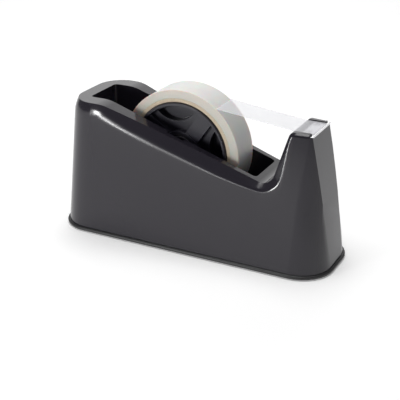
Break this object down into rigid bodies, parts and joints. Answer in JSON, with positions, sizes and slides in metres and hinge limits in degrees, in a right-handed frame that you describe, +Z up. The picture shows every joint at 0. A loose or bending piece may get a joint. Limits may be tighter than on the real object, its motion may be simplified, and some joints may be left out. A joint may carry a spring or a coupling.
{
  "type": "tape dispenser",
  "caption": "Weighted desktop tape dispenser: long black body with a sloping deck, a lift-out reel in a deep well, and a toothed cutter on its front tower.",
  "frame": {"origin": "under the middle of the foot, on the surface that it stands on", "axes": "+X from the rear to the cutting tower, +Y across, +Z up"},
  "size_m": [0.2226, 0.0716, 0.1191],
  "materials": {
    "black_gloss": "satin to glossy injection moulding",
    "black_satin": "satin",
    "reel_plastic": "semi-gloss",
    "nylon": "satin",
    "steel": "brushed",
    "cast_iron": "as cast",
    "foam": "matt",
    "card": "matt",
    "tape": "clear film, frosted in the roll"
  },
  "bodies": {
    "housing": {"housing_shell": "black_gloss", "base_plate": "black_satin", "non_slip_pad": "foam", "base_screw_1": "steel", "base_screw_2": "steel", "base_screw_3": "steel", "base_screw_4": "steel", "base_screw_5": "steel", "ballast_rear": "cast_iron", "ballast_front": "cast_iron", "ballast_near": "cast_iron", "ballast_far": "cast_iron", "blade_holder": "black_satin", "cutter_blade": "steel", "blade_screw_near": "steel", "blade_screw_far": "steel"},
    "reel_carrier": {"axle_pin": "steel", "axle_block_near": "nylon", "axle_block_far": "nylon", "tape_strip": "tape"},
    "reel": {"small_core_spindle": "reel_plastic", "large_core_wheel_near": "reel_plastic", "large_core_wheel_far": "reel_plastic", "tape_core": "card", "tape_winding": "tape"}
  },
  "joints": [
    {"name": "reel_lift", "type": "slide", "parent": "housing", "child": "reel_carrier", "axis": [0, 0, 1], "range_m": [0, 0.085]},
    {"name": "reel_spin", "type": "hinge", "parent": "reel_carrier", "child": "reel", "pos_m": [-0.0112, 0, 0.072], "axis": [0, 1, 0], "continuous": true}
  ]
}
